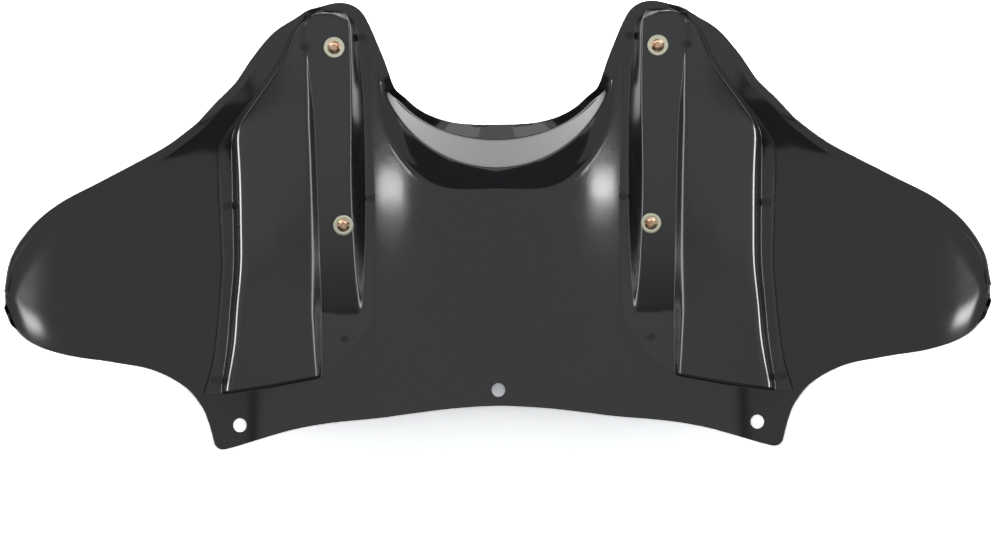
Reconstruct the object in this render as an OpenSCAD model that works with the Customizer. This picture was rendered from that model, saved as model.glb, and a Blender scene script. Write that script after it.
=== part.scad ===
// Detachable two-winged fairing for a motorcycle, seen as it sits on the machine:
// +Z up, X across, -Y towards the road ahead, +Y towards the rider.
// The shell and its inner panels are drawn in the plane of the face, x across and y up the face.
// Heights are measured "back", from the face towards the rider, and module raked() leans the result back.

/* [Shell] */
// Half of the overall width, to the wing tips
tip_reach = 421; // [402:1:447]
// Radius of the face seen from above
plan_r = 660; // [560:10:900]
// Radius of the hollow from the windshield edge down to the legs
dish_r = 1100; // [900:50:1800]
// Wall of the moulded shell
shell_wall = 4; // [3.5:0.5:6]
// Lean of the face back from upright, in degrees
rake = 30; // [20:1:40]
// Rise of the rim round the wings
wing_rim = 0.5; // [0:0.5:4]
// Width of the turned rim round the wings
wing_rim_w = 30; // [20:5:40]
// Rise of the ledge beside the legs, which the panels' slanting edges sit on
leg_ledge = 10; // [6:0.5:12]

/* [Headlight hood] */
// Radius of the cut-out for the headlight
hood_r = 113.5; // [100:0.5:116]
// Height of the cut-out's centre on the face
hood_y = -208.5; // [-213:0.5:-204]
// Length of the hood at its middle, level and forwards
hood_length = 54.5; // [30:0.5:70]
// Width of the lip round the hood's front, at its middle
hood_lip = 16; // [6:0.5:20]
// Forward lean of the lip from the face, as a slope
lip_lean = 0.55; // [0:0.05:0.6]
// Width of the edge band on the legs and wings
edge_lip = 3.5; // [2:0.5:4.5]
// Depth of the soft step where the face runs into the hood
hood_dip = 7; // [0:1:12]
// Width of that step at the hood's middle, and what it gains towards the hood's ends
hood_dip_w = 20; // [15:1:30]
hood_dip_more = 16; // [0:1:18]

/* [Windshield holes] */
// Diameter of each windshield hole
shield_hole_d = 12.7; // [8:0.1:14]
// Side holes: distance from the centre line
shield_hole_x = 238; // [225:1:242]
// Side holes: height on the face
shield_hole_y = 144; // [138:1:147]
// Middle hole: height on the face
shield_mid_y = 117; // [105:1:119]

/* [Inner panels] */
// Wall of each panel
panel_wall = 2.5; // [2:0.1:3.2]
// Gap between a panel's flange and the shell
panel_gap = 0.3; // [0.2:0.05:0.5]
// Height of the bolt terrace above the shell, at the leg end
terrace_h = 17; // [16:0.5:20]
// Height of the terrace above the flange, at its other end
terrace_foot = 1.5; // [1:0.5:4]
// Height of the raised field above the terrace, along the middle ridge
field_h = 4.5; // [3:0.5:6]
// Height of the raised field above the shell, along the outer ridge
outer_h = 18; // [14:1:22]
// Radius of the bosses that the long panel screws run through
boss_r = 4.5; // [4:0.1:5.5]

/* [Bracket bolts] */
// Thread diameter
bolt_d = 6; // [5:0.5:8]
// Length under the head
bolt_l = 12; // [11:0.5:15]
// Head diameter
bolt_head_d = 12; // [10:0.5:14]
// Head height
bolt_head_h = 3.6; // [3:0.1:5]
// Width of the hexagon socket across its flats
bolt_socket = 4; // [3:0.5:5]
// Depth of the hexagon socket
bolt_socket_depth = 2.4; // [1.5:0.1:2.6]
// Washer diameter
washer_d = 19; // [16:0.5:20]
// Washer thickness
washer_h = 1.6; // [1:0.1:2.5]
// Clearance round the bolt in its washer
washer_clear = 0.2; // [0.1:0.05:0.4]
// Clearance round the bolt in the panel
bolt_clear = 0.3; // [0.2:0.05:0.6]
// Nut width across its flats
nut_af = 10; // [9:0.5:13]
// Nut thickness
nut_h = 5; // [4:0.1:6.5]
// Leg end bolts: distance from the centre line
leg_bolt_x = 149; // [146:1:154]
// Leg end bolts: height on the face
leg_bolt_y = -203; // [-207:1:-198]
// Upper bolts: distance from the centre line
top_bolt_x = 144; // [143:1:152]
// Upper bolts: height on the face
top_bolt_y = -40; // [-60:1:-30]

/* [Panel screws] */
// Thread diameter
screw_d = 3.5; // [3:0.1:4]
// Head diameter
screw_head_d = 6.8; // [6:0.1:7.2]
// Head height
screw_head_h = 2; // [1.5:0.1:2.6]
// Depth of the screw's bite into the shell
screw_bite = 2.8; // [2:0.1:3]
// Width of the cross slots in the head
screw_slot = 0.8; // [0.6:0.1:1]
// Clearance round the screw in the panel
screw_clear = 0.35; // [0.2:0.05:0.5]

/* [Hidden] */
$fn = 48;
// Small gap where two flat faces seat on each other, and where a screw's head seats on a curved flange
seat_gap = 0.05;
head_gap = 0.12;
// Clearance between a thread and the hole it bites in
thread_clear = 0.05;
// Angle from the middle of the hood to each of its ends
hood_angle = 63.5;
// Station on the leg where the hood runs out
hood_end = 3.45;
// Columns of the shell between two stations of its edge curves, and rows from edge to edge
shell_steps = 2;
shell_rows = 16;
// Part of the wing that stretches with tip_reach starts here
wing_start = 270;
drawn_reach = 421;

// Lower edge of the face from the hood's middle to the wing tip, 5 mm inside the real edge:
// along the hood, down the leg, round its tip and out along the wing
hood_points = [for (a = [0:1:3]) let (t = a * hood_angle / 3) [hood_r * sin(t), hood_y + hood_r * cos(t)]];
low_points = concat(hood_points, [
    [115, -197], [125.5, -227], [134, -237.5], [147, -239.5], [164, -234], [181, -223.5], [199.5, -210.5],
    [217.5, -188.5], [230.5, -168.5], [240.5, -157], [249, -148.5], [257, -139.5], [266, -129.3],
    [278, -118.7], [296, -104.7], [322, -88.7], [350, -71.7], [376.5, -55], [399, -34.5],
    [415, -9.5], [421, 18.5]]);
// Upper edge at the same stations: the windshield edge, its rounded corner and the wing's upper edge
top_points = [
    [0, 132], [42, 134], [80, 138], [105, 141],
    [122, 142.5], [137, 143.5], [148, 144.3], [161, 145.5], [176, 147.5], [193, 150.5], [211, 155],
    [229, 160], [244, 164], [253, 165.3], [258.5, 161.3], [261.5, 151], [265, 139], [271, 125],
    [285, 107], [311, 91], [344, 82.3], [377, 75], [400, 65], [413.5, 51], [421, 29.5]];

// The panel's lines are given as [height on the face, distance from the centre line]
inner_edge = [[-239.5, 139], [-238.3, 136], [-230, 129], [-226, 126], [-215, 120.5], [-160, 118.5],
    [-110, 117], [-76, 115.7], [-38, 115.3], [30, 116.7], [48, 117.6]];
inner_foot = [[-239.5, 140.5], [-238.3, 138], [-230, 132.5], [-226, 130.5], [-215, 129], [-160, 125],
    [-66, 124], [0, 126], [42, 128.5], [70, 131]];
inner_ridge = [[-239.5, 142], [-238.3, 140.5], [-230, 136.5], [-226, 135], [-215, 134.2], [-160, 134.1],
    [-70, 136], [0, 134], [42, 132], [80, 138]];
middle_foot = [[-239.5, 150], [-238.3, 153], [-233.5, 161], [-226, 170], [-215, 172], [-193, 172.5],
    [-139, 168], [-62, 166.5], [29, 165.5], [78, 165.3], [103, 165.6]];
middle_ridge = [[-239.5, 151.5], [-238.3, 155], [-232.5, 166], [-226, 172], [-215, 173.5], [-193, 174],
    [-139, 173.7], [-62, 172.8], [29, 173.2], [78, 170.8], [103, 168.6]];
outer_ridge = [[-239.5, 153], [-238.3, 157], [-229, 171.5], [-226, 174.5], [-215, 184], [-204, 189],
    [-193, 194], [-177, 203.8], [-157, 218], [-134, 233.5], [-125, 236.2], [-116, 237], [-85, 235.8],
    [-36, 235.3], [-4, 235.4], [37, 238.8], [69, 241], [108, 247.4]];
outer_foot = [[-239.5, 154.5], [-238.3, 159], [-229.5, 173], [-226, 176.5], [-215, 186], [-204, 191],
    [-193, 196], [-177, 206], [-157, 220.5], [-134, 236.8], [-125, 241], [-114, 243.6], [-85, 244],
    [-36, 243.8], [-4, 244], [37, 247], [69, 249.5], [108, 254]];
outer_edge = [[-239.5, 156], [-238.3, 161], [-230, 174], [-226, 178], [-215, 187.5], [-204, 192.5],
    [-193, 197.5], [-177, 207.5], [-157, 222], [-134, 239.4], [-120, 248.8], [-108, 254.3], [-82, 255.4],
    [-4, 253.4], [21, 255], [45, 256.6], [86, 261.3], [112, 268]];
// The panel's bottom edge, as [distance from the centre line, height on the face]
bottom_edge = [[117, 46], [151, 92], [159, 98.5], [167, 101.5], [180, 104.5], [227, 111.5],
    [255, 113.5], [268, 111]];
// Height on the face of each line along the panel's top edge
top_ys = [-230, -229, -227.5, -233.5, -233.5, -232.5, -231, -229, -229.5, -230];
// Step from the terrace up to the raised field along the middle ridge, as [height on the face, step]
field_step = [[-205, 0], [-170, 2.3], [-140, 4.4], [-100, 4.6], [-40, 4.5], [0, 4.7], [42, 6.7],
    [75, 11.6], [103, 16.2]];
// The terrace runs down to this height on the face, and sinks into the flange over the next stretch
terrace_end = 38;
terrace_fall = 16;
panel_top = -230;

// The long screws stand in bosses on the raised field, the others in the flange
screw_places = [[179.5, -206.5, 1], [124.3, -215.5, 0], [119.3, -66, 0], [145, 67, 0],
    [260.5, 101.5, 0], [249.3, -58, 0]];

// Soft step from 0 to 1 while s goes from a to b
function ease(a, b, s) = let (f = min(1, max(0, (s - a) / (b - a)))) f * f * (3 - 2 * f);

// Smooth curve through a table of [at, value] pairs
function slope_at(tab, i) =
    let (n = len(tab) - 1, a = max(0, i - 1), b = min(n, i + 1))
    (tab[b][1] - tab[a][1]) / (tab[b][0] - tab[a][0]);
function curve(tab, at) =
    let (n = len(tab) - 1,
         below = [for (k = [0:n - 1]) if (tab[k][0] <= at) k],
         i = len(below) > 0 ? below[len(below) - 1] : 0,
         gap = tab[i + 1][0] - tab[i][0],
         f = min(1, max(0, (at - tab[i][0]) / gap)),
         a = slope_at(tab, i) * gap,
         b = slope_at(tab, i + 1) * gap,
         rise = tab[i + 1][1] - tab[i][1])
    tab[i][1] + f * (a + f * (3 * rise - 2 * a - b + f * (a + b - 2 * rise)));

// Smooth curve through points, read at station s, mirrored at the centre line
function blend4(a, b, c, d, f) =
    0.5 * (2 * b + (c - a) * f + (2 * a - 5 * b + 4 * c - d) * f * f + (3 * b - a - 3 * c + d) * f * f * f);
function on_curve(points, s) =
    let (n = len(points) - 1, i = max(0, min(floor(s), n - 1)))
    blend4(i > 0 ? points[i - 1] : [-points[1][0], points[1][1]],
        points[i], points[i + 1],
        i < n - 1 ? points[i + 2] : 2 * points[n] - points[n - 1], s - i);
function stretched(p) =
    [p[0] <= wing_start ? p[0]
        : wing_start + (p[0] - wing_start) * (tip_reach - wing_start) / (drawn_reach - wing_start), p[1]];
low_curve = [for (p = low_points) stretched(p)];
top_curve = [for (p = top_points) stretched(p)];
last_station = len(low_points) - 1;

// Distance of the plain face back from its own middle
function face_back(x, y) = plan_r - sqrt(plan_r * plan_r - x * x) + y * y / (2 * dish_r);

// Rise of the face at the ledge beside a leg, which runs in under the panel's slanting edge
function ledge(x, y) =
    leg_ledge * ease(158, 176, x) * (1 - ease(-180, -70, y)) * ease(-13, -4, x - curve(outer_edge, y));

// Share of the hood's form at a station, and the hood's length and lip there
function hood_share(s) = 1 - ease(2, hood_end + 0.4, s);
function hood_depth(s) =
    let (run = pow(max(0, 1 - pow(s / (hood_end + 0.4), 2)), 1.4))
    hood_length * run * (1 - ease(hood_end - 0.8, hood_end, s));
function lip_width(s) =
    let (side = edge_lip + 3 * (1 - ease(3.4, 5.2, s)))
    side + (hood_lip - edge_lip - 3) * exp(-pow(s / 1.5, 2));
function dip_width(s) = hood_dip_w + hood_dip_more * ease(0, 1.8, s);
function band(s) = 1 - 0.8 * ease(last_station - 3, last_station, s);

// Share of the wings' turned rim at a distance from the edge, where the rim sets in at station a
function rim_share(a, s, far) =
    let (e = ease(a, 19, s)) e * pow(max(0, 1 - far / (wing_rim_w * (0.3 + 0.7 * e))), 2);
function both(a, b) = a + b - a * b;

// Face height at a point of a column, with the step at the hood and the turned rims
function skin_back(p, s, low, top) =
    face_back(p[0], p[1]) + ledge(p[0], p[1])
    - hood_dip * hood_share(s) * pow(max(0, 1 - low / dip_width(s)), 1.3)
    + wing_rim * both(rim_share(15, s, low), rim_share(17, s, top));

// One column of the shell's rider side, from the edge of the lip up to the upper edge
function shell_column(s) =
    let (foot = on_curve(low_curve, s),
         head = on_curve(top_curve, s),
         run = on_curve(low_curve, min(last_station, s + 0.01)) - on_curve(low_curve, max(0, s - 0.01)),
         out = [run[1], -run[0]] / norm(run),
         hood = hood_share(s),
         depth = hood_depth(s),
         lip = lip_width(s) * band(s),
         wide = norm(head - foot),
         back0 = skin_back(foot, s, 0, wide),
         mid = foot + 1.5 * band(s) * out + [0, -sin(rake)] * depth / 2,
         front = foot + 3 * band(s) * out + [0, -sin(rake)] * depth,
         edge = front + lip * out,
         slide = function (p) skin_back(p, s, 0, wide) - skin_back(foot, s, 0, wide),
         mid_back = back0 + (1 - hood) * slide(mid) - cos(rake) * depth / 2 - 0.1 * band(s),
         front_back = back0 + (1 - hood) * slide(front) - cos(rake) * depth - 0.2 * band(s),
         edge_back = front_back + hood * (face_back(edge[0], edge[1]) - face_back(front[0], front[1]))
             + (1 - hood) * (slide(edge) - slide(front)) - 0.3 * band(s) - lip_lean * lip * hood)
    concat([[edge[0], edge[1], edge_back], [front[0], front[1], front_back], [mid[0], mid[1], mid_back]],
        [for (k = [0:shell_rows])
            let (t = pow(k / shell_rows, 1.55), p = foot + (head - foot) * t)
            [p[0], p[1], skin_back(p, s, t * wide, (1 - t) * wide)]]);

// Heights of the panel's rider side
function flange_back(x, y) = face_back(x, y) + ledge(x, y) + panel_gap + panel_wall;
function terrace_plane(x, y) =
    let (low = flange_back(top_bolt_x, terrace_end) + terrace_foot,
         high = face_back(leg_bolt_x, panel_top) + terrace_h)
    low + (high - low) * (terrace_end - y) / (terrace_end - panel_top) + 0.22 * (x - top_bolt_x);
function terrace_back(x, y) =
    let (flat = flange_back(x, y), fall = ease(terrace_end, terrace_end + terrace_fall, y))
    flat + (1 - fall) * max(0, terrace_plane(x, y) - flat);
function middle_back(x, y) = terrace_plane(x, y) + field_h / 4.5 * curve(field_step, y);
function outer_back(x, y) = face_back(x, y) + outer_h - 3 * ease(30, 110, y);

// One row of the panel across its feature lines: height on the face y for each line, raised or flat
function panel_row(ys, raised) =
    let (xs = [for (k = [0:9])
             k == 0 ? curve(inner_edge, ys[0]) : k == 1 ? curve(inner_foot, ys[1])
             : k == 2 ? curve(inner_ridge, ys[2])
             : k == 3 ? (curve(inner_ridge, ys[3]) + curve(middle_foot, ys[3])) / 2
             : k == 4 ? curve(middle_foot, ys[4]) : k == 5 ? curve(middle_ridge, ys[5])
             : k == 6 ? (curve(middle_ridge, ys[6]) + curve(outer_ridge, ys[6])) / 2
             : k == 7 ? curve(outer_ridge, ys[7]) : k == 8 ? curve(outer_foot, ys[8])
             : curve(outer_edge, ys[9])])
    [for (k = [0:9])
        let (x = xs[k], y = ys[k], flat = flange_back(x, y),
             high = k >= 2 && k <= 4 ? terrace_back(x, y)
                 : k == 5 ? middle_back(x, y)
                 : k == 6 ? (middle_back(xs[5], ys[5]) + outer_back(xs[7], ys[7])) / 2 + 0.6
                 : k == 7 ? outer_back(x, y) : flat)
        [x, y, raised ? high : flat]];
function level(y) = [for (k = [0:9]) y];
// Where each line meets the bottom edge
bottom_xs = [117.6, 131, 138, 149, 162, 167, 206, 247, 254, 268];
bottom_ys = [for (x = bottom_xs) lookup(x, bottom_edge)];
upper_rows = [-226, -215, -204, -193, -177, -157, -143, -134, -123, -112, -100, -85, -65, -45, -20, 5, 25];
panel_grid = concat(
    [panel_row(level(-239.5), false), panel_row(level(-238.3), false), panel_row(top_ys, true)],
    [for (y = upper_rows) panel_row(level(y), true)],
    [for (f = [0, 0.12, 0.25, 0.4, 0.7, 1]) panel_row(level(terrace_end) * (1 - f) + bottom_ys * f, true)],
    [for (d = [1.5, 2.5]) panel_row([for (y = bottom_ys) y + d], false)]);

// Turns a point with its height back into a point of the face's own axes
function placed(p) = [p[0], p[1], -p[2]];

// Closed sheet with the grid as its rider side and its wall on the road side
module sheet(grid, wall) {
    n = len(grid);
    m = len(grid[0]);
    rider = [for (row = grid) [for (p = row) placed(p)]];
    road = [for (i = [0:n - 1]) [for (j = [0:m - 1])
        let (a = rider[min(n - 1, i + 1)][j] - rider[max(0, i - 1)][j],
             b = rider[i][min(m - 1, j + 1)] - rider[i][max(0, j - 1)],
             c = cross(a, b))
        rider[i][j] + (c[2] > 0 ? 1 : -1) * c / norm(c) * wall]];
    points = concat([for (row = rider) each row], [for (row = road) each row]);
    far = n * m;
    side = [for (i = [0:n - 2]) for (j = [0:m - 2])
        let (a = i * m + j, b = a + 1, c = a + m + 1, d = a + m) each [[a, b, c], [a, c, d]]];
    rim = concat(
        [for (j = [0:m - 2]) [j, j + 1]],
        [for (i = [0:n - 2]) [i * m + m - 1, (i + 1) * m + m - 1]],
        [for (j = [m - 1:-1:1]) [(n - 1) * m + j, (n - 1) * m + j - 1]],
        [for (i = [n - 1:-1:1]) [i * m, (i - 1) * m]]);
    faces = concat(side,
        [for (f = side) [f[2] + far, f[1] + far, f[0] + far]],
        [for (e = rim) each [[e[1], e[0], e[0] + far], [e[1], e[0] + far, e[1] + far]]]);
    // A grid that runs the other way round is closed with its faces turned over
    turned = cross(rider[1][0] - rider[0][0], rider[0][1] - rider[0][0])[2] > 0;
    polyhedron(points, turned ? [for (f = faces) [f[2], f[1], f[0]]] : faces);
}

// Middle of the four bracket bolts, the origin of the part
bolt_places = [[leg_bolt_x, leg_bolt_y], [-leg_bolt_x, leg_bolt_y], [top_bolt_x, top_bolt_y],
    [-top_bolt_x, top_bolt_y]];
bracket_y = (leg_bolt_y + top_bolt_y) / 2;
bracket_back = (terrace_plane(leg_bolt_x, leg_bolt_y) + terrace_plane(top_bolt_x, top_bolt_y)) / 2;

// Leans a child that is drawn in the plane of the face into its place on the machine
module raked() rotate([90 - rake, 0, 0]) translate([0, -bracket_y, bracket_back]) children();

// Places a child on a surface whose height back is b and whose slopes are sx and sy.
// The child's own +z points back, to the rider
module on_surface(x, y, b, sx, sy) {
    translate([x, y, -b])
        rotate([-asin(sy / sqrt(1 + sx * sx + sy * sy)), atan(sx), 0])
            mirror([0, 0, 1]) children();
}
module on_face(x, y) {
    sx = x / sqrt(plan_r * plan_r - x * x);
    on_surface(x, y, face_back(x, y), sx, y / dish_r) children();
}
module on_terrace(x, y) {
    px = abs(x);
    sy = terrace_plane(px, y + 1) - terrace_plane(px, y);
    sx = (terrace_plane(px + 1, y) - terrace_plane(px, y)) * sign(x);
    on_surface(x, y, terrace_plane(px, y), sx, sy) children();
}

// Every panel screw's place, on both sides
all_screws = concat([for (p = screw_places) p], [for (p = screw_places) [-p[0], p[1], p[2]]]);

module outer_shell() {
    half = [for (s = [0:1 / shell_steps:last_station]) shell_column(s)];
    whole = concat([for (i = [len(half) - 1:-1:1]) [for (p = half[i]) [-p[0], p[1], p[2]]]], half);
    color([0.09, 0.09, 0.1]) raked() difference() {
        sheet(whole, shell_wall);
        for (side = [-1, 1]) on_face(side * shield_hole_x, shield_hole_y)
            translate([0, 0, -3 * shell_wall]) cylinder(d = shield_hole_d, h = 6 * shell_wall);
        on_face(0, shield_mid_y)
            translate([0, 0, -3 * shell_wall]) cylinder(d = shield_hole_d, h = 6 * shell_wall);
        for (p = all_screws) on_face(p[0], p[1])
            translate([0, 0, -screw_bite - 0.2])
                cylinder(d = screw_d + 2 * thread_clear, h = screw_bite + 3);
    }
}

// Height above the shell of the boss round a long screw
function boss_h(p) = middle_back(abs(p[0]), p[1]) - face_back(p[0], p[1]) + 0.4;

module inner_panel(side) {
    grid = side > 0 ? panel_grid : [for (row = panel_grid) [for (p = row) [-p[0], p[1], p[2]]]];
    color([0.11, 0.11, 0.12]) raked() difference() {
        union() {
            sheet(grid, panel_wall);
            for (p = screw_places) if (p[2] == 1) on_face(side * p[0], p[1])
                translate([0, 0, panel_gap]) cylinder(r = boss_r, h = boss_h(p) - panel_gap);
        }
        for (p = screw_places) on_face(side * p[0], p[1])
            translate([0, 0, -1]) cylinder(d = screw_d + 2 * screw_clear, h = 40);
        for (p = bolt_places) if (p[0] * side > 0) on_terrace(p[0], p[1])
            translate([0, 0, -3 * panel_wall]) cylinder(d = bolt_d + 2 * bolt_clear, h = 6 * panel_wall);
    }
}
module left_inner_panel() inner_panel(1);
module right_inner_panel() inner_panel(-1);

module bracket_washer(k) {
    color([0.78, 0.78, 0.68]) raked() on_terrace(bolt_places[k][0], bolt_places[k][1])
        translate([0, 0, seat_gap]) difference() {
            cylinder(d = washer_d, h = washer_h);
            translate([0, 0, -1]) cylinder(d = bolt_d + 2 * washer_clear, h = washer_h + 2);
        }
}

module bracket_bolt(k) {
    dome_r = (bolt_head_d * bolt_head_d / 4 + bolt_head_h * bolt_head_h) / (2 * bolt_head_h);
    color([0.72, 0.58, 0.42]) raked() on_terrace(bolt_places[k][0], bolt_places[k][1])
        translate([0, 0, washer_h + 2 * seat_gap]) difference() {
            union() {
                intersection() {
                    cylinder(d = bolt_head_d, h = bolt_head_h);
                    translate([0, 0, bolt_head_h - dome_r]) sphere(r = dome_r, $fn = 64);
                }
                translate([0, 0, -bolt_l]) cylinder(d = bolt_d, h = bolt_l + 1);
            }
            translate([0, 0, bolt_head_h - bolt_socket_depth])
                cylinder(d = bolt_socket / cos(30), h = bolt_head_h, $fn = 6);
        }
}

module bracket_nut(k) {
    color([0.72, 0.72, 0.7]) raked() on_terrace(bolt_places[k][0], bolt_places[k][1])
        translate([0, 0, -panel_wall - seat_gap - nut_h]) difference() {
            cylinder(d = nut_af / cos(30), h = nut_h, $fn = 6);
            translate([0, 0, -1]) cylinder(d = bolt_d + 2 * thread_clear, h = nut_h + 2);
        }
}

module panel_screw(k) {
    p = all_screws[k];
    seat = p[2] == 1 ? boss_h(p) + seat_gap : panel_gap + panel_wall + head_gap;
    color([0.05, 0.05, 0.05]) raked() on_face(p[0], p[1]) difference() {
        union() {
            translate([0, 0, seat]) cylinder(d = screw_head_d, h = screw_head_h);
            translate([0, 0, -screw_bite]) cylinder(d = screw_d, h = screw_bite + seat + 0.5);
        }
        for (a = [0, 90]) rotate([0, 0, a])
            translate([-screw_head_d * 0.3, -screw_slot / 2, seat + screw_head_h / 2])
                cube([screw_head_d * 0.6, screw_slot, screw_head_h]);
    }
}

outer_shell();
left_inner_panel();
right_inner_panel();
for (k = [1:4]) bracket_bolt(k - 1);
for (k = [1:4]) bracket_washer(k - 1);
for (k = [1:4]) bracket_nut(k - 1);
for (k = [1:12]) panel_screw(k - 1);
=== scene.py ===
import bisect
import math

import bmesh
import bpy
from bpy.props import FloatProperty, FloatVectorProperty, PointerProperty
from mathutils import Matrix, Vector


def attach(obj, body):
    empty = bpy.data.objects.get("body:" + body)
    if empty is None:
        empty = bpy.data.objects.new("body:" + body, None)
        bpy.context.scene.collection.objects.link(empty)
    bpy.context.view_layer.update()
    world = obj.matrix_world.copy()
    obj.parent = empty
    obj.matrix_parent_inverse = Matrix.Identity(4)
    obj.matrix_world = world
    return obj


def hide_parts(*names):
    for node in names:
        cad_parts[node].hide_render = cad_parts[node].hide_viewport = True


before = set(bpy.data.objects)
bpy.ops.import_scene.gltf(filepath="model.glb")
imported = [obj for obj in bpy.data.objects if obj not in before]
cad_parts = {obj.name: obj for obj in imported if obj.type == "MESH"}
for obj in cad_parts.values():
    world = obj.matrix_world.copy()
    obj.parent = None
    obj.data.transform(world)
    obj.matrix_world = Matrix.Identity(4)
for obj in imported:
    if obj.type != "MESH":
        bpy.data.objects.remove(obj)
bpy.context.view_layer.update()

bl_info = {
    "name": "Motorcycle fairing",
    "version": (1, 0, 0),
    "blender": (4, 5, 0),
    "location": "View3D > Sidebar > Fairing",
    "description": "Builds a two-winged motorcycle fairing with its inner panels and fixings",
    "category": "Object",
}

# The face is drawn flat, in mm: x across, y up the face and back towards the rider.
RAKE = math.radians(30)
PLAN_R = 660
DISH_R = 1100
MM = 0.001

# The photo's view: the camera's distance from the face, the width of a pixel there and the picture's width
VIEW_DISTANCE = 1500
PIXEL = 0.955
PICTURE_W = 993
VIEW_ROLL = math.radians(-0.4)

# Headlight cut-out: radius, height of its centre, half the angle of the hood over it
HOOD_R = 113.5
HOOD_Y = -208.5
HOOD_ANGLE = math.radians(63.5)
# Station at which the hood runs out, and its length at the middle
HOOD_END = 3.45
HOOD_LENGTH = 54.5
# Lip round the hood's front: width at its middle, forward lean, and edge band and extra width at the sides
HOOD_LIP = 16
LIP_LEAN = 0.55
EDGE_LIP = 3.5
SIDE_LIP = 3
# Step where the face runs into the hood: depth, width and what it gains to the sides
HOOD_DIP = 7
HOOD_DIP_W = 20
HOOD_DIP_MORE = 16
# Rise of the ledge beside a leg, and rise and width of the wings' turned rim
LEG_LEDGE = 10
WING_RIM = 0.5
WING_RIM_W = 30
# Lower and upper edge curve, station by station from the middle of the hood to the wing tip
LOW_POINTS = [
    (HOOD_R * math.sin(a * HOOD_ANGLE / 3), HOOD_Y + HOOD_R * math.cos(a * HOOD_ANGLE / 3)) for a in range(4)
] + [
    (115, -197), (125.5, -227), (134, -237.5), (147, -239.5), (164, -234), (181, -223.5), (199.5, -210.5),
    (217.5, -188.5), (230.5, -168.5), (240.5, -157), (249, -148.5), (257, -139.5), (266, -129.3),
    (278, -118.7), (296, -104.7), (322, -88.7), (350, -71.7), (376.5, -55), (399, -34.5), (415, -9.5),
    (421, 18.5)]
TOP_POINTS = [
    (0, 132), (42, 134), (80, 138), (105, 141),
    (122, 142.5), (137, 143.5), (148, 144.3), (161, 145.5), (176, 147.5), (193, 150.5), (211, 155),
    (229, 160), (244, 164), (253, 165.3), (258.5, 161.3), (261.5, 151), (265, 139), (271, 125),
    (285, 107), (311, 91), (344, 82.3), (377, 75), (400, 65), (413.5, 51), (421, 29.5)]
LAST = len(LOW_POINTS) - 1
WINDSHIELD_HOLES = ((-238, 144), (0, 117), (238, 144))

# Panel lines: (height on the face, distance from the centre line)
INNER_EDGE = [(-239.5, 139), (-238.3, 136), (-230, 129), (-226, 126), (-215, 120.5), (-160, 118.5),
    (-110, 117), (-76, 115.7), (-38, 115.3), (30, 116.7), (48, 117.6)]
INNER_FOOT = [(-239.5, 140.5), (-238.3, 138), (-230, 132.5), (-226, 130.5), (-215, 129), (-160, 125),
    (-66, 124), (0, 126), (42, 128.5), (70, 131)]
INNER_RIDGE = [(-239.5, 142), (-238.3, 140.5), (-230, 136.5), (-226, 135), (-215, 134.2), (-160, 134.1),
    (-70, 136), (0, 134), (42, 132), (80, 138)]
MIDDLE_FOOT = [(-239.5, 150), (-238.3, 153), (-233.5, 161), (-226, 170), (-215, 172), (-193, 172.5),
    (-139, 168), (-62, 166.5), (29, 165.5), (78, 165.3), (103, 165.6)]
MIDDLE_RIDGE = [(-239.5, 151.5), (-238.3, 155), (-232.5, 166), (-226, 172), (-215, 173.5), (-193, 174),
    (-139, 173.7), (-62, 172.8), (29, 173.2), (78, 170.8), (103, 168.6)]
OUTER_RIDGE = [(-239.5, 153), (-238.3, 157), (-229, 171.5), (-226, 174.5), (-215, 184), (-204, 189),
    (-193, 194), (-177, 203.8), (-157, 218), (-134, 233.5), (-125, 236.2), (-116, 237), (-85, 235.8),
    (-36, 235.3), (-4, 235.4), (37, 238.8), (69, 241), (108, 247.4)]
OUTER_FOOT = [(-239.5, 154.5), (-238.3, 159), (-229.5, 173), (-226, 176.5), (-215, 186), (-204, 191),
    (-193, 196), (-177, 206), (-157, 220.5), (-134, 236.8), (-125, 241), (-114, 243.6), (-85, 244),
    (-36, 243.8), (-4, 244), (37, 247), (69, 249.5), (108, 254)]
OUTER_EDGE = [(-239.5, 156), (-238.3, 161), (-230, 174), (-226, 178), (-215, 187.5), (-204, 192.5),
    (-193, 197.5), (-177, 207.5), (-157, 222), (-134, 239.4), (-120, 248.8), (-108, 254.3), (-82, 255.4),
    (-4, 253.4), (21, 255), (45, 256.6), (86, 261.3), (112, 268)]
BOTTOM_EDGE = [(117, 46), (151, 92), (159, 98.5), (167, 101.5), (180, 104.5), (227, 111.5),
               (255, 113.5), (268, 111)]
BOTTOM_XS = [117.6, 131, 138, 149, 162, 167, 206, 247, 254, 268]
TOP_YS = [-230, -229, -227.5, -233.5, -233.5, -232.5, -231, -229, -229.5, -230]
# Step from the terrace up to the raised field along the middle ridge, drawn for a field of DRAWN_FIELD_H
DRAWN_FIELD_H = 4.5
FIELD_STEP = [(-205, 0), (-170, 2.3), (-140, 4.4), (-100, 4.6), (-40, 4.5), (0, 4.7), (42, 6.7), (75, 11.6),
    (103, 16.2)]
TERRACE_END = 38
TERRACE_FALL = 16
PANEL_TOP = -230
PANEL_GAP = 0.3
PANEL_WALL = 2.5
TERRACE_H = 17
TERRACE_FOOT = 1.5
FIELD_H = 4.5
OUTER_H = 18
LEG_BOLT = (149, -203)
TOP_BOLT = (144, -40)
BOLT_PLACES = (LEG_BOLT, (-LEG_BOLT[0], LEG_BOLT[1]), TOP_BOLT, (-TOP_BOLT[0], TOP_BOLT[1]))
SCREW_PLACES = ((179.5, -206.5, True), (124.3, -215.5, False), (119.3, -66, False), (145, 67, False),
                (260.5, 101.5, False), (249.3, -58, False))
WASHER_H = 1.6
SEAT_GAP = 0.05
# Roundings of a shell column at its lip's edge, front, middle and foot, and of a panel row at its lines
COLUMN_RADII = [0, 1.2, 0, 2.2]
ROW_RADII = [0, 0.4, 2.4, 0, 0.4, 3.0, 0, 5.0, 0.4, 0]
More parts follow.
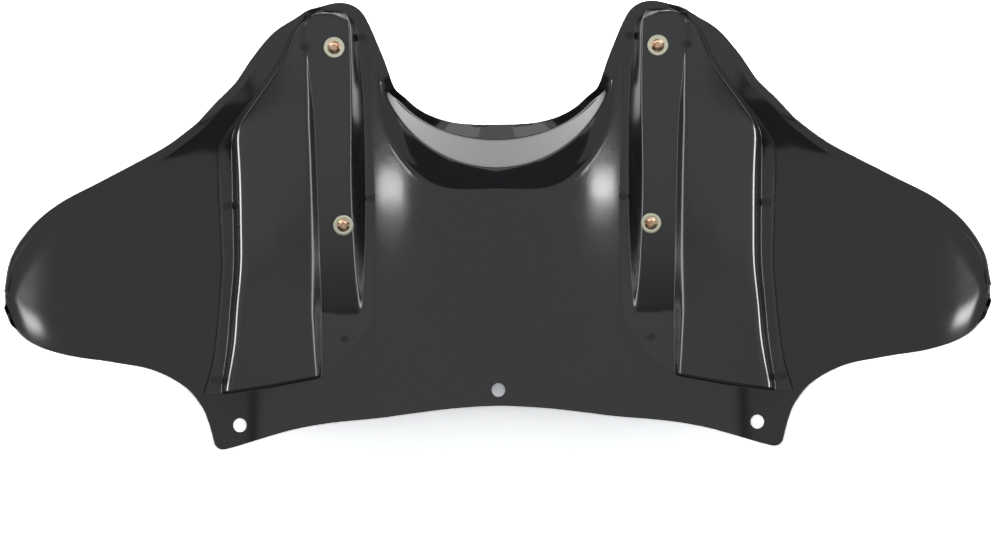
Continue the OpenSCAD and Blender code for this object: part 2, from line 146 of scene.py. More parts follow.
# Samples between two stations or lines
STATION_STEPS = 8
COLUMN_ROWS = 52
TERRACE_ROWS = 66
ROW_STEPS = [2, 2, 4, 4, 2, 6, 6, 2, 2]


# Shapes shared by the pieces

def ease(a, b, s):
    f = min(1.0, max(0.0, (s - a) / (b - a)))
    return f * f * (3 - 2 * f)


def curve(table, at):
    """Smooth curve through a table of (at, value) pairs."""
    last = len(table) - 1
    i = min(last - 1, max(0, bisect.bisect_right([row[0] for row in table], at) - 1))

    def slope(k):
        a, b = table[max(0, k - 1)], table[min(last, k + 1)]
        return (b[1] - a[1]) / (b[0] - a[0])

    gap = table[i + 1][0] - table[i][0]
    f = min(1.0, max(0.0, (at - table[i][0]) / gap))
    a, b, rise = slope(i) * gap, slope(i + 1) * gap, table[i + 1][1] - table[i][1]
    return table[i][1] + f * (a + f * (3 * rise - 2 * a - b + f * (a + b - 2 * rise)))


def straight(table, at):
    """Straight lines through a table of (at, value) pairs."""
    for (x0, y0), (x1, y1) in zip(table, table[1:]):
        if at <= x1:
            return y0 + (y1 - y0) * max(0.0, at - x0) / (x1 - x0)
    return table[-1][1]


def on_curve(points, s):
    """Smooth curve through points, read at station s, mirrored at the centre line."""
    last = len(points) - 1
    i = max(0, min(int(s), last - 1))
    f = s - i
    a = points[i - 1] if i > 0 else (-points[1][0], points[1][1])
    b, c = points[i], points[i + 1]
    d = points[i + 2] if i < last - 1 else (2 * c[0] - b[0], 2 * c[1] - b[1])
    return Vector([
        0.5 * (2 * b[k] + (c[k] - a[k]) * f + (2 * a[k] - 5 * b[k] + 4 * c[k] - d[k]) * f * f
               + (3 * b[k] - a[k] - 3 * c[k] + d[k]) * f ** 3) for k in range(2)])


def face_back(x, y):
    """Distance of the plain face back from its own middle."""
    return PLAN_R - math.sqrt(PLAN_R * PLAN_R - x * x) + y * y / (2 * DISH_R)


def ledge(x, y):
    """Rise of the face at the ledge beside a leg, which runs in under the panel's slanting edge."""
    x = abs(x)
    return (LEG_LEDGE * ease(158, 176, x) * (1 - ease(-180, -70, y))
            * ease(-13, -4, x - curve(OUTER_EDGE, y)))


def flange_back(x, y):
    return face_back(x, y) + ledge(x, y) + PANEL_GAP + PANEL_WALL


def terrace_plane(x, y):
    low = flange_back(TOP_BOLT[0], TERRACE_END) + TERRACE_FOOT
    high = face_back(LEG_BOLT[0], PANEL_TOP) + TERRACE_H
    return low + (high - low) * (TERRACE_END - y) / (TERRACE_END - PANEL_TOP) + 0.22 * (x - TOP_BOLT[0])


def terrace_back(x, y):
    flat = flange_back(x, y)
    fall = ease(TERRACE_END, TERRACE_END + TERRACE_FALL, y)
    return flat + (1 - fall) * max(0.0, terrace_plane(x, y) - flat)


def middle_back(x, y):
    return terrace_plane(x, y) + FIELD_H / DRAWN_FIELD_H * curve(FIELD_STEP, y)


def outer_back(x, y):
    return face_back(x, y) + OUTER_H - 3 * ease(30, 110, y)


# The frame's origin is the middle of the four bracket bolts
BRACKET_Y = (LEG_BOLT[1] + TOP_BOLT[1]) / 2
BRACKET_BACK = (terrace_plane(*LEG_BOLT) + terrace_plane(*TOP_BOLT)) / 2
LEAN = Matrix(((1, 0, 0), (0, math.sin(RAKE), math.cos(RAKE)), (0, math.cos(RAKE), -math.sin(RAKE))))


def leant(x, y, back):
    """A direction of the face, in the frame's own axes."""
    return LEAN @ Vector((x, y, back))


def placed(x, y, back):
    """A point of the face, in metres in the frame."""
    return leant(x, y - BRACKET_Y, back - BRACKET_BACK) * MM


def seat_matrix(x, y, back, slope_x, slope_y):
    """Places a fixing with its own +Z off the surface, in metres."""
    up = leant(-slope_x, -slope_y, 1).normalized()
    side = leant(1, 0, slope_x).normalized()
    side = (side - up * side.dot(up)).normalized()
    ahead = up.cross(side)
    out = Matrix((side, ahead, up)).transposed().to_4x4()
    out.translation = placed(x, y, back)
    return out


def face_seat(x, y):
    return seat_matrix(x, y, face_back(x, y), x / math.sqrt(PLAN_R * PLAN_R - x * x), y / DISH_R)


def terrace_seat(x, y):
    px = abs(x)
    slope_x = (terrace_plane(px + 1, y) - terrace_plane(px, y)) * (1 if x > 0 else -1)
    return seat_matrix(x, y, terrace_plane(px, y), slope_x, terrace_plane(px, y + 1) - terrace_plane(px, y))


def rounded_path(points, radii, inner):
    """Samples of a path whose corners are rounded.

    radii holds a radius for each point, and inner the samples between each two points. Each rounded
    corner is the running mean of the path over its radius to either side.
    """
    lengths, sums = [0.0], [Vector((0, 0, 0))]
    for a, b in zip(points, points[1:]):
        step = (b - a).length
        lengths.append(lengths[-1] + step)
        sums.append(sums[-1] + (a + b) * (step / 2))
    last = len(points) - 1

    def point(at):
        i = min(last - 1, max(0, bisect.bisect_right(lengths, at) - 1))
        step = lengths[i + 1] - lengths[i]
        f = (at - lengths[i]) / step if step > 0 else 0.0
        return i, points[i].lerp(points[i + 1], f), at - lengths[i]

    def total(at):
        i, p, part = point(at)
        return sums[i] + (points[i] + p) * (part / 2)

    fit = [0.0] * len(points)
    for k in range(1, last):
        if radii[k] > 0:
            fit[k] = min(radii[k], 0.46 * (lengths[k] - lengths[k - 1]), 0.46 * (lengths[k + 1] - lengths[k]))
    stops = []
    for k in range(len(points)):
        if 0 < k < last and radii[k] > 0:
            stops += [(lengths[k] + fit[k] * f, fit[k]) for f in (-1, -0.6, -0.2, 0.2, 0.6, 1)]
        else:
            stops.append((lengths[k], 0.0))
        if k < last:
            a, b = lengths[k] + fit[k], lengths[k + 1] - fit[k + 1]
            stops += [(a + (b - a) * (j + 1) / (inner[k] + 1), 0.0) for j in range(inner[k])]
    out = []
    for at, r in stops:
        if r > 1e-6:
            out.append((total(at + r) - total(at - r)) / (2 * r))
        else:
            out.append(point(at)[1])
    return out


# Mesh helpers

def grid_mesh(name, grid):
    """A sheet from a grid of points in metres, facing the rider."""
    rows, cols = len(grid) - 1, len(grid[0]) - 1
    mesh = bmesh.new()
    bmesh.ops.create_grid(mesh, x_segments=cols, y_segments=rows, size=1)
    for vert in mesh.verts:
        i = round((vert.co.y + 1) / 2 * rows)
        j = round((vert.co.x + 1) / 2 * cols)
        vert.co = grid[i][j]
    mesh.normal_update()
    facing = sum((f.normal.dot(leant(0, 0, 1)) for f in mesh.faces), 0.0)
    if facing < 0:
        bmesh.ops.reverse_faces(mesh, faces=mesh.faces)
    return finished(name, mesh)


def finished(name, mesh):
    """Stores a bmesh as a new object at the origin."""
    data = bpy.data.meshes.new(name)
    mesh.to_mesh(data)
    mesh.free()
    piece = bpy.data.objects.new(name, data)
    bpy.context.scene.collection.objects.link(piece)
    return piece


def applied(piece):
    """Turns a piece's modifiers into its own mesh."""
    seen = piece.evaluated_get(bpy.context.evaluated_depsgraph_get())
    data = bpy.data.meshes.new_from_object(seen)
    old = piece.data
    piece.modifiers.clear()
    piece.data = data
    data.name = piece.name
    bpy.data.meshes.remove(old)
    return piece


def thickened(piece, wall, rim_round):
    """Gives a sheet its wall, away from the rider, and rounds its rim."""
    solid = piece.modifiers.new("wall", "SOLIDIFY")
    solid.thickness = wall * MM
    solid.offset = -1
    solid.use_quality_normals = True
    soft = piece.modifiers.new("rim", "BEVEL")
    soft.width = rim_round * MM
    soft.segments = 3
    soft.limit_method = "ANGLE"
    soft.angle_limit = math.radians(58)
    soft.use_clamp_overlap = True
    return applied(piece)


def smooth_shaded(piece, sharp=38):
    """Smooth shading with the edges past an angle kept crisp."""
    mesh = bmesh.new()
    mesh.from_mesh(piece.data)
    bmesh.ops.remove_doubles(mesh, verts=mesh.verts, dist=1e-6)
    for face in mesh.faces:
        face.smooth = True
    for edge in mesh.edges:
        edge.smooth = len(edge.link_faces) == 2 and edge.calc_face_angle(0) < math.radians(sharp)
    mesh.to_mesh(piece.data)
    mesh.free()
    return piece


def bored(piece, seats, radius, depth):
    """Cuts round holes through a piece at the given seats."""
    for k, seat in enumerate(seats):
        mesh = bmesh.new()
        bmesh.ops.create_cone(mesh, cap_ends=True, segments=64, radius1=radius * MM, radius2=radius * MM,
                              depth=depth * MM)
        bmesh.ops.transform(mesh, matrix=seat, verts=mesh.verts)
        cutter = finished("hole_cutter_%d" % k, mesh)
        cut = piece.modifiers.new("hole_%d" % k, "BOOLEAN")
        cut.operation = "DIFFERENCE"
        cut.solver = "EXACT"
        cut.object = cutter
        applied(piece)
        bpy.data.objects.remove(cutter)
    return piece


def turned_piece(profile, segments=48):
    """A closed bmesh turned from a profile of (radius, height) points in mm."""
    mesh = bmesh.new()
    verts = [mesh.verts.new((r * MM, 0, h * MM)) for r, h in profile]
    edges = [mesh.edges.new((a, b)) for a, b in zip(verts, verts[1:])]
    bmesh.ops.spin(mesh, geom=verts + edges, cent=(0, 0, 0), axis=(0, 0, 1), angle=math.tau,
                   steps=segments, use_merge=True)
    bmesh.ops.remove_doubles(mesh, verts=mesh.verts, dist=1e-6)
    bmesh.ops.recalc_face_normals(mesh, faces=mesh.faces)
    return mesh


def arc_points(cx, cy, r, start, end, steps):
    """Points of a round corner in a turned profile, angles in degrees."""
    return [(cx + r * math.cos(math.radians(start + (end - start) * k / steps)),
             cy + r * math.sin(math.radians(start + (end - start) * k / steps))) for k in range(steps + 1)]


# Finishes

class Wire:
    """A shader value that takes part in sums and adds the Math nodes that they need."""

    def __init__(self, finish, socket):
        self.finish = finish
        self.socket = socket

    def _sum(self, operation, a, b):
        return self.finish.node("ShaderNodeMath", {"operation": operation}, {0: a, 1: b})

    def __add__(self, other):
        return self._sum("ADD", self, other)

    def __radd__(self, other):
        return self._sum("ADD", other, self)

    def __sub__(self, other):
        return self._sum("SUBTRACT", self, other)

    def __rsub__(self, other):
        return self._sum("SUBTRACT", other, self)

    def __mul__(self, other):
        return self._sum("MULTIPLY", self, other)

    def __rmul__(self, other):
        return self._sum("MULTIPLY", other, self)


class Finish:
    """A material, with one method that adds its nodes."""

    def __init__(self, name):
        self.material = bpy.data.materials.new(name)
        self.material.use_nodes = True
        self.tree = self.material.node_tree
        self.tree.nodes.clear()

    def node(self, kind, settings=None, links=None, out=0):
        added = self.tree.nodes.new(kind)
        for key, value in (settings or {}).items():
            if key == "stops":
                ramp = added.color_ramp
                while len(ramp.elements) < len(value):
                    ramp.elements.new(0.5)
                for element, (at, grey) in zip(ramp.elements, value):
                    element.position = at
                    element.color = (grey, grey, grey, 1)
            else:
                setattr(added, key, value)
        for key, value in (links or {}).items():
            if isinstance(value, Wire):
                self.tree.links.new(value.socket, added.inputs[key])
            else:
                added.inputs[key].default_value = value
        return Wire(self, added.outputs[out])

    def noise(self, scale, detail=2.0, rough=0.5, stretch=None):
        place = self.node("ShaderNodeTexCoord", out="Object")
        if stretch:
            place = self.node("ShaderNodeMapping", None, {"Vector": place, "Scale": stretch})
        return self.node("ShaderNodeTexNoise", None,
                         {"Vector": place, "Scale": scale, "Detail": detail, "Roughness": rough}, out="Fac")

    def ramp(self, value, stops):
        return self.node("ShaderNodeValToRGB", {"stops": stops}, {"Fac": value}, out="Color")

    def tint(self, fac, a, b):
        return self.node("ShaderNodeMix", {"data_type": "RGBA"},
                         {0: fac, 6: (*a, 1), 7: (*b, 1)}, out=2)

    def surface(self, **sockets):
        links = {key.replace("_", " "): value for key, value in sockets.items()}
        shader = self.node("ShaderNodeBsdfPrincipled", None, links)
        self.node_output(shader)
        return self.material

    def node_output(self, shader):
        end = self.tree.nodes.new("ShaderNodeOutputMaterial")
        self.tree.links.new(shader.socket, end.inputs["Surface"])


def moulded_plastic(name, colour, roughness, grain):
    """Black moulded plastic: soft sheen, fine grain and faint handling marks."""
    finish = Finish(name)
    cloudy = finish.noise(9, 3, 0.55)
    smears = finish.noise(26, 4, 0.6, (1, 1, 0.35))
    fine = finish.noise(900, 2, 0.5)
    waves = finish.noise(34, 1, 0.4)
    base = finish.tint(cloudy * 0.6 + smears * 0.2, colour, tuple(c * 1.5 + 0.001 for c in colour))
    rough = roughness + (cloudy - 0.5) * 0.03 + (smears - 0.5) * 0.04
    bump = finish.node("ShaderNodeBump", None,
                       {"Strength": 1.0, "Distance": 1.0, "Height": fine * grain + waves * 0.00003})
    return finish.surface(Base_Color=base, Roughness=rough, Normal=bump, IOR=1.5)


def zinc_finish(name, colour, other, roughness):
    """Plated steel with a cloudy passivated tint."""
    finish = Finish(name)
    cloudy = finish.noise(160, 3, 0.6)
    fine = finish.noise(1400, 2, 0.5)
    base = finish.tint(finish.ramp(cloudy, [(0.3, 0.0), (0.7, 1.0)]), colour, other)
    bump = finish.node("ShaderNodeBump", None, {"Strength": 0.5, "Distance": 1.0, "Height": fine * 0.00001})
    rough = roughness + (cloudy - 0.5) * 0.15
    return finish.surface(Base_Color=base, Roughness=rough, Metallic=1.0, Normal=bump)


def dressed(piece, material, nodes):
    """Gives a new piece its finish, hangs it on the root body and hides the CAD nodes that it stands for."""
    piece.data.materials.clear()
    piece.data.materials.append(material)
    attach(piece, "root")
    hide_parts(*nodes)
    return piece


# Outer shell

def hood_share(s):
    return 1 - ease(2, HOOD_END + 0.4, s)


def hood_depth(s):
    run = max(0.0, 1 - (s / (HOOD_END + 0.4)) ** 2) ** 1.4
    return HOOD_LENGTH * run * (1 - ease(HOOD_END - 0.8, HOOD_END, s))


def lip_width(s):
    side = EDGE_LIP + SIDE_LIP * (1 - ease(3.4, 5.2, s))
    return side + (HOOD_LIP - EDGE_LIP - SIDE_LIP) * math.exp(-(s / 1.5) ** 2)


def band(s):
    return 1 - 0.8 * ease(LAST - 3, LAST, s)


def rim_share(a, s, far):
    """Share of the wings' turned rim at a distance from the edge, where it sets in at station a."""
    e = ease(a, 19, s)
    return e * max(0.0, 1 - far / (WING_RIM_W * (0.3 + 0.7 * e))) ** 2


def skin_back(p, s, low, top):
    """Face height at a point of a column, with the step at the hood and the turned rims."""
    dip = HOOD_DIP_W + HOOD_DIP_MORE * ease(0, 1.8, s)
    a, b = rim_share(15, s, low), rim_share(17, s, top)
    return (face_back(p[0], p[1]) + ledge(p[0], p[1])
            - HOOD_DIP * hood_share(s) * max(0.0, 1 - low / dip) ** 1.3
            + WING_RIM * (a + b - a * b))


def shell_column(s, rows):
    """Points of the shell's rider side at station s, from the lip's edge to the upper edge."""
    foot, head = on_curve(LOW_POINTS, s), on_curve(TOP_POINTS, s)
    run = on_curve(LOW_POINTS, min(LAST, s + 0.01)) - on_curve(LOW_POINTS, max(0, s - 0.01))
    out = Vector((run[1], -run[0])).normalized()
    hood, depth, lip = hood_share(s), hood_depth(s), lip_width(s) * band(s)
    wide = (head - foot).length
    back0 = skin_back(foot, s, 0, wide)

    def slide(p):
        return (1 - hood) * (skin_back(p, s, 0, wide) - back0)

    down = Vector((0, -math.sin(RAKE))) * depth
    mid = foot + 1.5 * band(s) * out + down / 2
    front = foot + 3 * band(s) * out + down
    edge = front + lip * out
    mid_back = back0 + slide(mid) - math.cos(RAKE) * depth / 2 - 0.1 * band(s)
    front_back = back0 + slide(front) - math.cos(RAKE) * depth - 0.2 * band(s)
    edge_back = (front_back + hood * (face_back(edge[0], edge[1]) - face_back(front[0], front[1]))
                 + slide(edge) - slide(front) - 0.3 * band(s) - LIP_LEAN * lip * hood)
    path = [(edge, edge_back), (front, front_back), (mid, mid_back), (foot, back0)]
    shares = [((k + 1.5) / (rows + 1.5)) ** 1.4 for k in range(1, rows)] + [1 - 1.4 / max(wide, 5), 1]
    for t in shares:
        p = foot + (head - foot) * t
        path.append((p, skin_back(p, s, t * wide, (1 - t) * wide)))
    points = [Vector((p[0], p[1], back)) for p, back in path]
    radii = COLUMN_RADII + [0] * len(shares)
    inner = [3, 4, 4, 1] + [0] * (len(shares) - 1)
    return rounded_path(points, radii, inner)


class FAIRING_OT_outer_shell(bpy.types.Operator):
    """Builds the outer shell with its hood, lip, rims and windshield holes"""
    bl_idname = "fairing.outer_shell"
    bl_label = "Outer shell"

    def execute(self, context):
        sizes = context.scene.fairing_sizes
        finish = context.scene.fairing_finish
        half = [shell_column(k / STATION_STEPS, COLUMN_ROWS) for k in range(LAST * STATION_STEPS + 1)]
        columns = [[Vector((-p[0], p[1], p[2])) for p in col] for col in half[:0:-1]] + half
        shell = grid_mesh("shell", [[placed(*p) for p in col] for col in columns])
        thickened(shell, sizes.shell_wall * 1000, sizes.rim_round * 1000)
        seats = [face_seat(x, y) for x, y in WINDSHIELD_HOLES]
        bored(shell, seats, sizes.hole_width * 500, 30)
        smooth_shaded(shell)
        plastic = moulded_plastic("shell_black", tuple(finish.shell_colour), finish.shell_roughness, 0.000004)
        dressed(shell, plastic, ["outer_shell"])
        lit_only([shell], ["key_left", "key_right", "low_left", "low_right"])
        return {"FINISHED"}


# Inner panels

def panel_row(ys, raised):
    """One row of a panel across its feature lines, raised or flat."""
    foot3, ridge6 = ys[3], ys[6]
    xs = [curve(INNER_EDGE, ys[0]), curve(INNER_FOOT, ys[1]), curve(INNER_RIDGE, ys[2]),
          (curve(INNER_RIDGE, foot3) + curve(MIDDLE_FOOT, foot3)) / 2, curve(MIDDLE_FOOT, ys[4]),
          curve(MIDDLE_RIDGE, ys[5]), (curve(MIDDLE_RIDGE, ridge6) + curve(OUTER_RIDGE, ridge6)) / 2,
          curve(OUTER_RIDGE, ys[7]), curve(OUTER_FOOT, ys[8]), curve(OUTER_EDGE, ys[9])]
    out = []
    for k, (x, y) in enumerate(zip(xs, ys)):
        back = flange_back(x, y)
        if raised and 2 <= k <= 4:
            back = terrace_back(x, y)
        elif raised and k == 5:
            back = middle_back(x, y)
        elif raised and k == 6:
            back = (middle_back(xs[5], ys[5]) + outer_back(xs[7], ys[7])) / 2 + 0.6
        elif raised and k == 7:
            back = outer_back(x, y)
        out.append(Vector((x, y, back)))
    return out


def panel_grid():
    """The panel's rider side as a grid of rounded rows, joined by rounded lines along it."""
    rows = [(panel_row([-239.5] * 10, False), 0), (panel_row([-238.3] * 10, False), 1.4),
            (panel_row(TOP_YS, True), 2.2)]
    heights = [TOP_YS[0] + (TERRACE_END - TOP_YS[0]) * (k / TERRACE_ROWS) for k in range(1, TERRACE_ROWS + 1)]
    rows += [(panel_row([y - (TOP_YS[0] - top) * max(0.0, 1 - k / 5) for top in TOP_YS], True),
              2.0 if k == TERRACE_ROWS - 1 else 0) for k, y in enumerate(heights)]
    bottom = [straight(BOTTOM_EDGE, x) for x in BOTTOM_XS]
    for f in [0.04 * k for k in range(1, 14)] + [0.52 + 0.48 * k / 7 for k in range(1, 8)]:
        ys = [TERRACE_END * (1 - f) + b * f for b in bottom]
        rows.append((panel_row(ys, True), 2.2 if f > 0.999 else 0))
    rows += [(panel_row([b + 1.5 for b in bottom], False), 0.8),
             (panel_row([b + 2.5 for b in bottom], False), 0)]
    across = [rounded_path(row, ROW_RADII, ROW_STEPS) for row, _ in rows]
    ends = [r for _, r in rows]
    along = [rounded_path([row[j] for row in across], ends, [1] + [0] * (len(rows) - 2))
             for j in range(len(across[0]))]
    return along


class FAIRING_OT_inner_panels(bpy.types.Operator):
    """Builds the two inner panels with their fields, terraces and flanges"""
    bl_idname = "fairing.inner_panels"
    bl_label = "Inner panels"

    def execute(self, context):
        finish = context.scene.fairing_finish
        plastic = moulded_plastic("panel_black", tuple(finish.panel_colour), finish.panel_roughness, 0.000006)
        lines = panel_grid()
        for side, name in ((1, "left_inner_panel"), (-1, "right_inner_panel")):
            grid = [[placed(side * p[0], p[1], p[2]) for p in line] for line in lines]
            panel = grid_mesh(name.replace("inner_panel", "panel"), grid)
            thickened(panel, PANEL_WALL, context.scene.fairing_sizes.panel_round * 1000)
            smooth_shaded(panel, 50)
            dressed(panel, plastic, [name])
            near, far = ("left", "right") if side > 0 else ("right", "left")
            lit_only([panel], ["edge_" + near, "ridge_" + far])
        return {"FINISHED"}


# Fixings

class FAIRING_OT_bracket_bolts(bpy.types.Operator):
    """Builds the four button-head bolts on the terraces"""
    bl_idname = "fairing.bracket_bolts"
    bl_label = "Bracket bolts"

    def execute(self, context):
        steel = zinc_finish("copper_zinc", (0.52, 0.3, 0.18), (0.7, 0.52, 0.36), 0.26)
        for k, (x, y) in enumerate(BOLT_PLACES):
            profile = [(0, 0.9), (2.3, 0.9), (2.35, 3.25)] + arc_points(2.7, 3.2, 0.35, 120, 70, 3)
            profile += arc_points(0, -3.4, 7.0, 66, 38, 8) + arc_points(5.6, 0.4, 0.4, 30, -90, 4)
            profile += [(3.0, 0.0), (3.0, -11.4), (2.5, -12.0), (0, -12.0)]
            mesh = turned_piece(profile)
            lift = Matrix.Translation((0, 0, (WASHER_H + 2 * SEAT_GAP) * MM))
            bmesh.ops.transform(mesh, matrix=terrace_seat(x, y) @ lift, verts=mesh.verts)
            bolt = finished("bracket_bolt_%d_steel" % (k + 1), mesh)
            smooth_shaded(bolt)
            dressed(bolt, steel, ["bracket_bolt_%d" % (k + 1)])
        return {"FINISHED"}


class FAIRING_OT_bracket_washers(bpy.types.Operator):
    """Builds the four large washers under the bracket bolts"""
    bl_idname = "fairing.bracket_washers"
    bl_label = "Bracket washers"

    def execute(self, context):
        zinc = zinc_finish("yellow_zinc", (0.62, 0.63, 0.47), (0.76, 0.73, 0.58), 0.3)
        for k, (x, y) in enumerate(BOLT_PLACES):
            profile = [(3.2, 0.1), (3.2, 1.5), (3.35, WASHER_H)] + arc_points(9.1, 1.2, 0.4, 90, 0, 4)
            profile += [(9.5, 0.2), (9.3, 0.0), (3.3, 0.0), (3.2, 0.1)]
            mesh = turned_piece(profile, 64)
            lift = Matrix.Translation((0, 0, SEAT_GAP * MM))
            bmesh.ops.transform(mesh, matrix=terrace_seat(x, y) @ lift, verts=mesh.verts)
            washer = finished("bracket_washer_%d_zinc" % (k + 1), mesh)
            smooth_shaded(washer)
            dressed(washer, zinc, ["bracket_washer_%d" % (k + 1)])
        return {"FINISHED"}


class FAIRING_OT_panel_screws(bpy.types.Operator):
    """Finishes the black panel screws and the nuts behind the terraces"""
    bl_idname = "fairing.panel_screws"
    bl_label = "Panel screws and nuts"

    def execute(self, context):
        black = Finish("screw_black")
        worn = black.noise(900, 2, 0.6)
        black_metal = black.surface(Base_Color=black.tint(worn, (0.008, 0.008, 0.009), (0.03, 0.03, 0.032)),
                                    Roughness=0.35 + worn * 0.2, IOR=1.5)
        zinc = zinc_finish("nut_zinc", (0.6, 0.6, 0.56), (0.75, 0.74, 0.68), 0.35)
        for name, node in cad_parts.items():
            material = black_metal if name.startswith("panel_screw") else zinc
            if name.startswith("panel_screw") or name.startswith("bracket_nut"):
                for slot in node.material_slots:
                    slot.material = material
        return {"FINISHED"}


# Stage

def softbox(name, place, aim, width, height, bright, turn=False):
    """An area lamp at a place of the face's frame, in mm, aimed at another, with its brightness."""
    data = bpy.data.lights.new(name, "AREA")
    data.shape = "RECTANGLE"
    data.size, data.size_y = width * MM, height * MM
    data.energy = bright * math.pi * data.size * data.size_y
    lamp = bpy.data.objects.new(name, data)
    bpy.context.scene.collection.objects.link(lamp)
    lamp.location = placed(*place)
    lamp.rotation_mode = "QUATERNION"
    ahead = (placed(*aim) - placed(*place)).normalized()
    along = leant(0, 1, 0) if turn else leant(1, 0, 0)
    along = (along - ahead * along.dot(ahead)).normalized()
    up = (-ahead).cross(along)
    lamp.rotation_quaternion = Matrix((along, up, -ahead)).transposed().to_quaternion()
    lamp.visible_camera = False
    return lamp


def lit_only(pieces, lamps):
    """Keeps lamps to some of the pieces, whose gloss or moulded edges they trace."""
    group = bpy.data.collections.new(pieces[0].name + "_light")
    for piece in pieces:
        group.objects.link(piece)
    for lamp in lamps:
        bpy.data.objects[lamp].light_linking.receiver_collection = group


class FAIRING_OT_stage(bpy.types.Operator):
    """Makes the camera, the lamps, the world and the pale table"""
    bl_idname = "fairing.stage"
    bl_label = "Stage"

    def execute(self, context):
        scene = context.scene
        scene.view_settings.view_transform = "Standard"
        data = bpy.data.cameras.new("camera")
        camera = bpy.data.objects.new("camera", data)
        scene.collection.objects.link(camera)
        scene.camera = camera
        data.sensor_width = 36
        data.lens = data.sensor_width * VIEW_DISTANCE / (PIXEL * PICTURE_W)
        data.shift_x = -1 / PICTURE_W
        data.clip_end = 50
        right, up, back = leant(1, 0, 0), leant(0, -1, 0), leant(0, 0, 1)
        turn = Matrix((right, up, back)).transposed().to_4x4()
        turn.translation = placed(0, 0, VIEW_DISTANCE)
        camera.matrix_world = turn @ Matrix.Rotation(VIEW_ROLL, 4, "Z")

        world = bpy.data.worlds.new("studio")
        scene.world = world
        world.use_nodes = True
        tree = world.node_tree
        tree.nodes.clear()
        path = tree.nodes.new("ShaderNodeLightPath")
        white = tree.nodes.new("ShaderNodeBackground")
        white.inputs["Color"].default_value = (1, 1, 1, 1)
        soft = tree.nodes.new("ShaderNodeBackground")
        soft.inputs["Color"].default_value = (0.92, 0.96, 1.0, 1)
        soft.inputs["Strength"].default_value = 0.16
        mix = tree.nodes.new("ShaderNodeMixShader")
        end = tree.nodes.new("ShaderNodeOutputWorld")
        tree.links.new(path.outputs["Is Camera Ray"], mix.inputs[0])
        tree.links.new(soft.outputs[0], mix.inputs[1])
        tree.links.new(white.outputs[0], mix.inputs[2])
        tree.links.new(mix.outputs[0], end.inputs["Surface"])

        # Broad light over the table, and the bright field that the hood's wall mirrors
        softbox("ceiling", (0, 150, 2100), (0, 150, 0), 2000, 900, 0.8)
        softbox("hood_fill", (0, -255, -62.5), (0, -255, 400), 420, 280, 2.0)
        # Lights that the leaning lip mirrors
        softbox("front", (0, -1239, 724), (0, -133, -50), 3000, 760, 1.5)
        for side, name in ((1, "left"), (-1, "right")):
            softbox("front_" + name, (side * -752, -812, 766), (side * 85, -110, -30), 900, 700, 1.2)
            # Gloss beside the panels, the wings' sheen and the gloss at their tips
            softbox("key_" + name, (side * 262, 54, 1500), (side * 95, -73, 10), 60, 8, 60)
            softbox("side_" + name, (side * 1250, 0, 1350), (side * -300, 0, 60), 1100, 1200, 0.62, turn=True)
            softbox("low_" + name, (side * 890, -28, 890), (side * -408, 37, 142), 26, 60, 20, turn=True)
            # Bright lines along the panels' ridges
            softbox("edge_" + name, (side * 1334, 60, 1083), (side * 237, 30, 60), 700, 700, 22, turn=True)
            softbox("ridge_" + name, (side * 1198, 60, 650), (side * -172, 30, 40), 1000, 250, 10, turn=True)

        mesh = bmesh.new()
        bmesh.ops.create_grid(mesh, x_segments=1, y_segments=1, size=2.5)
        turn = Matrix((leant(1, 0, 0), leant(0, -1, 0), leant(0, 0, 1))).transposed().to_4x4()
        turn.translation = placed(0, 0, -64)
        bmesh.ops.transform(mesh, matrix=turn, verts=mesh.verts)
        table = finished("table", mesh)
        table.data.materials.append(table_finish())
        return {"FINISHED"}


def table_finish():
    """Pale table: white to the camera and in reflections, with the fairing's soft shadow on it."""
    finish = Finish("table_white")
    path = finish.node("ShaderNodeLightPath", out="Is Camera Ray")
    glossy = finish.node("ShaderNodeLightPath", out="Is Glossy Ray")
    lit = finish.node("ShaderNodeBsdfDiffuse", None, {"Color": (0.8, 0.79, 0.78, 1)})
    glow = finish.node("ShaderNodeEmission", None, {"Color": (1, 1, 1, 1), "Strength": 0.6})
    both = finish.node("ShaderNodeAddShader", None, {0: lit, 1: glow})
    bright = finish.node("ShaderNodeBsdfDiffuse", None, {"Color": (3.3, 3.3, 3.3, 1)})
    plain = finish.node("ShaderNodeMixShader", None, {0: glossy, 1: lit, 2: both})
    shown = finish.node("ShaderNodeMixShader", None, {0: path, 1: plain, 2: bright})
    clear = finish.node("ShaderNodeBsdfTransparent")
    behind = finish.node("ShaderNodeNewGeometry", out="Backfacing")
    finish.node_output(finish.node("ShaderNodeMixShader", None, {0: behind, 1: shown, 2: clear}))
    return finish.material


# Add-on

class FairingSizes(bpy.types.PropertyGroup):
    shell_wall: FloatProperty(name="Shell wall", description="Wall of the moulded shell", default=0.004,
                              unit="LENGTH")
    rim_round: FloatProperty(name="Rim rounding", description="Rounding of the shell's rim", default=0.0009,
                             unit="LENGTH")
    hole_width: FloatProperty(name="Windshield hole", description="Width of each windshield hole",
                              default=0.0127, unit="LENGTH")
    panel_round: FloatProperty(name="Panel rounding", description="Rounding of the panels' rims",
                               default=0.0011, unit="LENGTH")


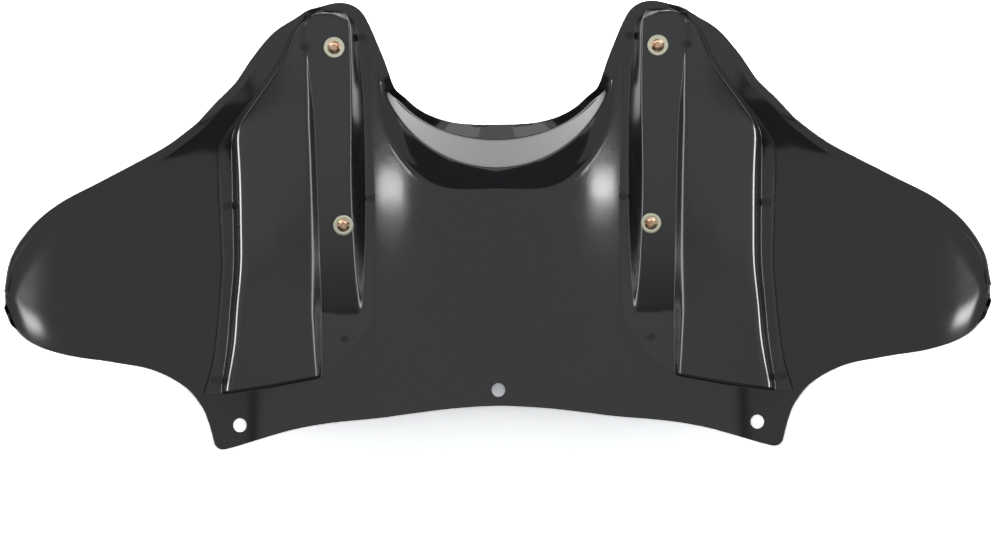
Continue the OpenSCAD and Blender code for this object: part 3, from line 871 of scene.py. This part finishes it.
class FairingFinish(bpy.types.PropertyGroup):
    shell_colour: FloatVectorProperty(name="Shell colour", description="Colour of the shell's plastic",
                                      subtype="COLOR", size=3, default=(0.0065, 0.0072, 0.0084))
    shell_roughness: FloatProperty(name="Shell roughness", description="Roughness of the shell's plastic",
                                   default=0.065, min=0, max=1, subtype="FACTOR")
    panel_colour: FloatVectorProperty(name="Panel colour", description="Colour of the panels' plastic",
                                      subtype="COLOR", size=3, default=(0.0062, 0.0066, 0.0072))
    panel_roughness: FloatProperty(name="Panel roughness", description="Roughness of the panels' plastic",
                                   default=0.18, min=0, max=1, subtype="FACTOR")


class FAIRING_PT_panel(bpy.types.Panel):
    """Lists the fairing's pieces and settings"""
    bl_idname = "FAIRING_PT_panel"
    bl_label = "Motorcycle fairing"
    bl_space_type = "VIEW_3D"
    bl_region_type = "UI"
    bl_category = "Fairing"

    def draw(self, context):
        layout = self.layout
        for group in (context.scene.fairing_sizes, context.scene.fairing_finish):
            for key in group.__annotations__:
                layout.prop(group, key)
        for step in OPERATORS:
            layout.operator(step.bl_idname)


OPERATORS = (FAIRING_OT_stage, FAIRING_OT_outer_shell, FAIRING_OT_inner_panels, FAIRING_OT_bracket_bolts,
             FAIRING_OT_bracket_washers, FAIRING_OT_panel_screws)
CLASSES = (FairingSizes, FairingFinish, *OPERATORS, FAIRING_PT_panel)


def register():
    for made in CLASSES:
        bpy.utils.register_class(made)
    bpy.types.Scene.fairing_sizes = PointerProperty(type=FairingSizes)
    bpy.types.Scene.fairing_finish = PointerProperty(type=FairingFinish)


def unregister():
    del bpy.types.Scene.fairing_finish
    del bpy.types.Scene.fairing_sizes
    for made in reversed(CLASSES):
        bpy.utils.unregister_class(made)


def main():
    register()
    bpy.ops.fairing.stage()
    bpy.ops.fairing.outer_shell()
    bpy.ops.fairing.inner_panels()
    bpy.ops.fairing.bracket_bolts()
    bpy.ops.fairing.bracket_washers()
    bpy.ops.fairing.panel_screws()


if __name__ == "__main__":
    main()
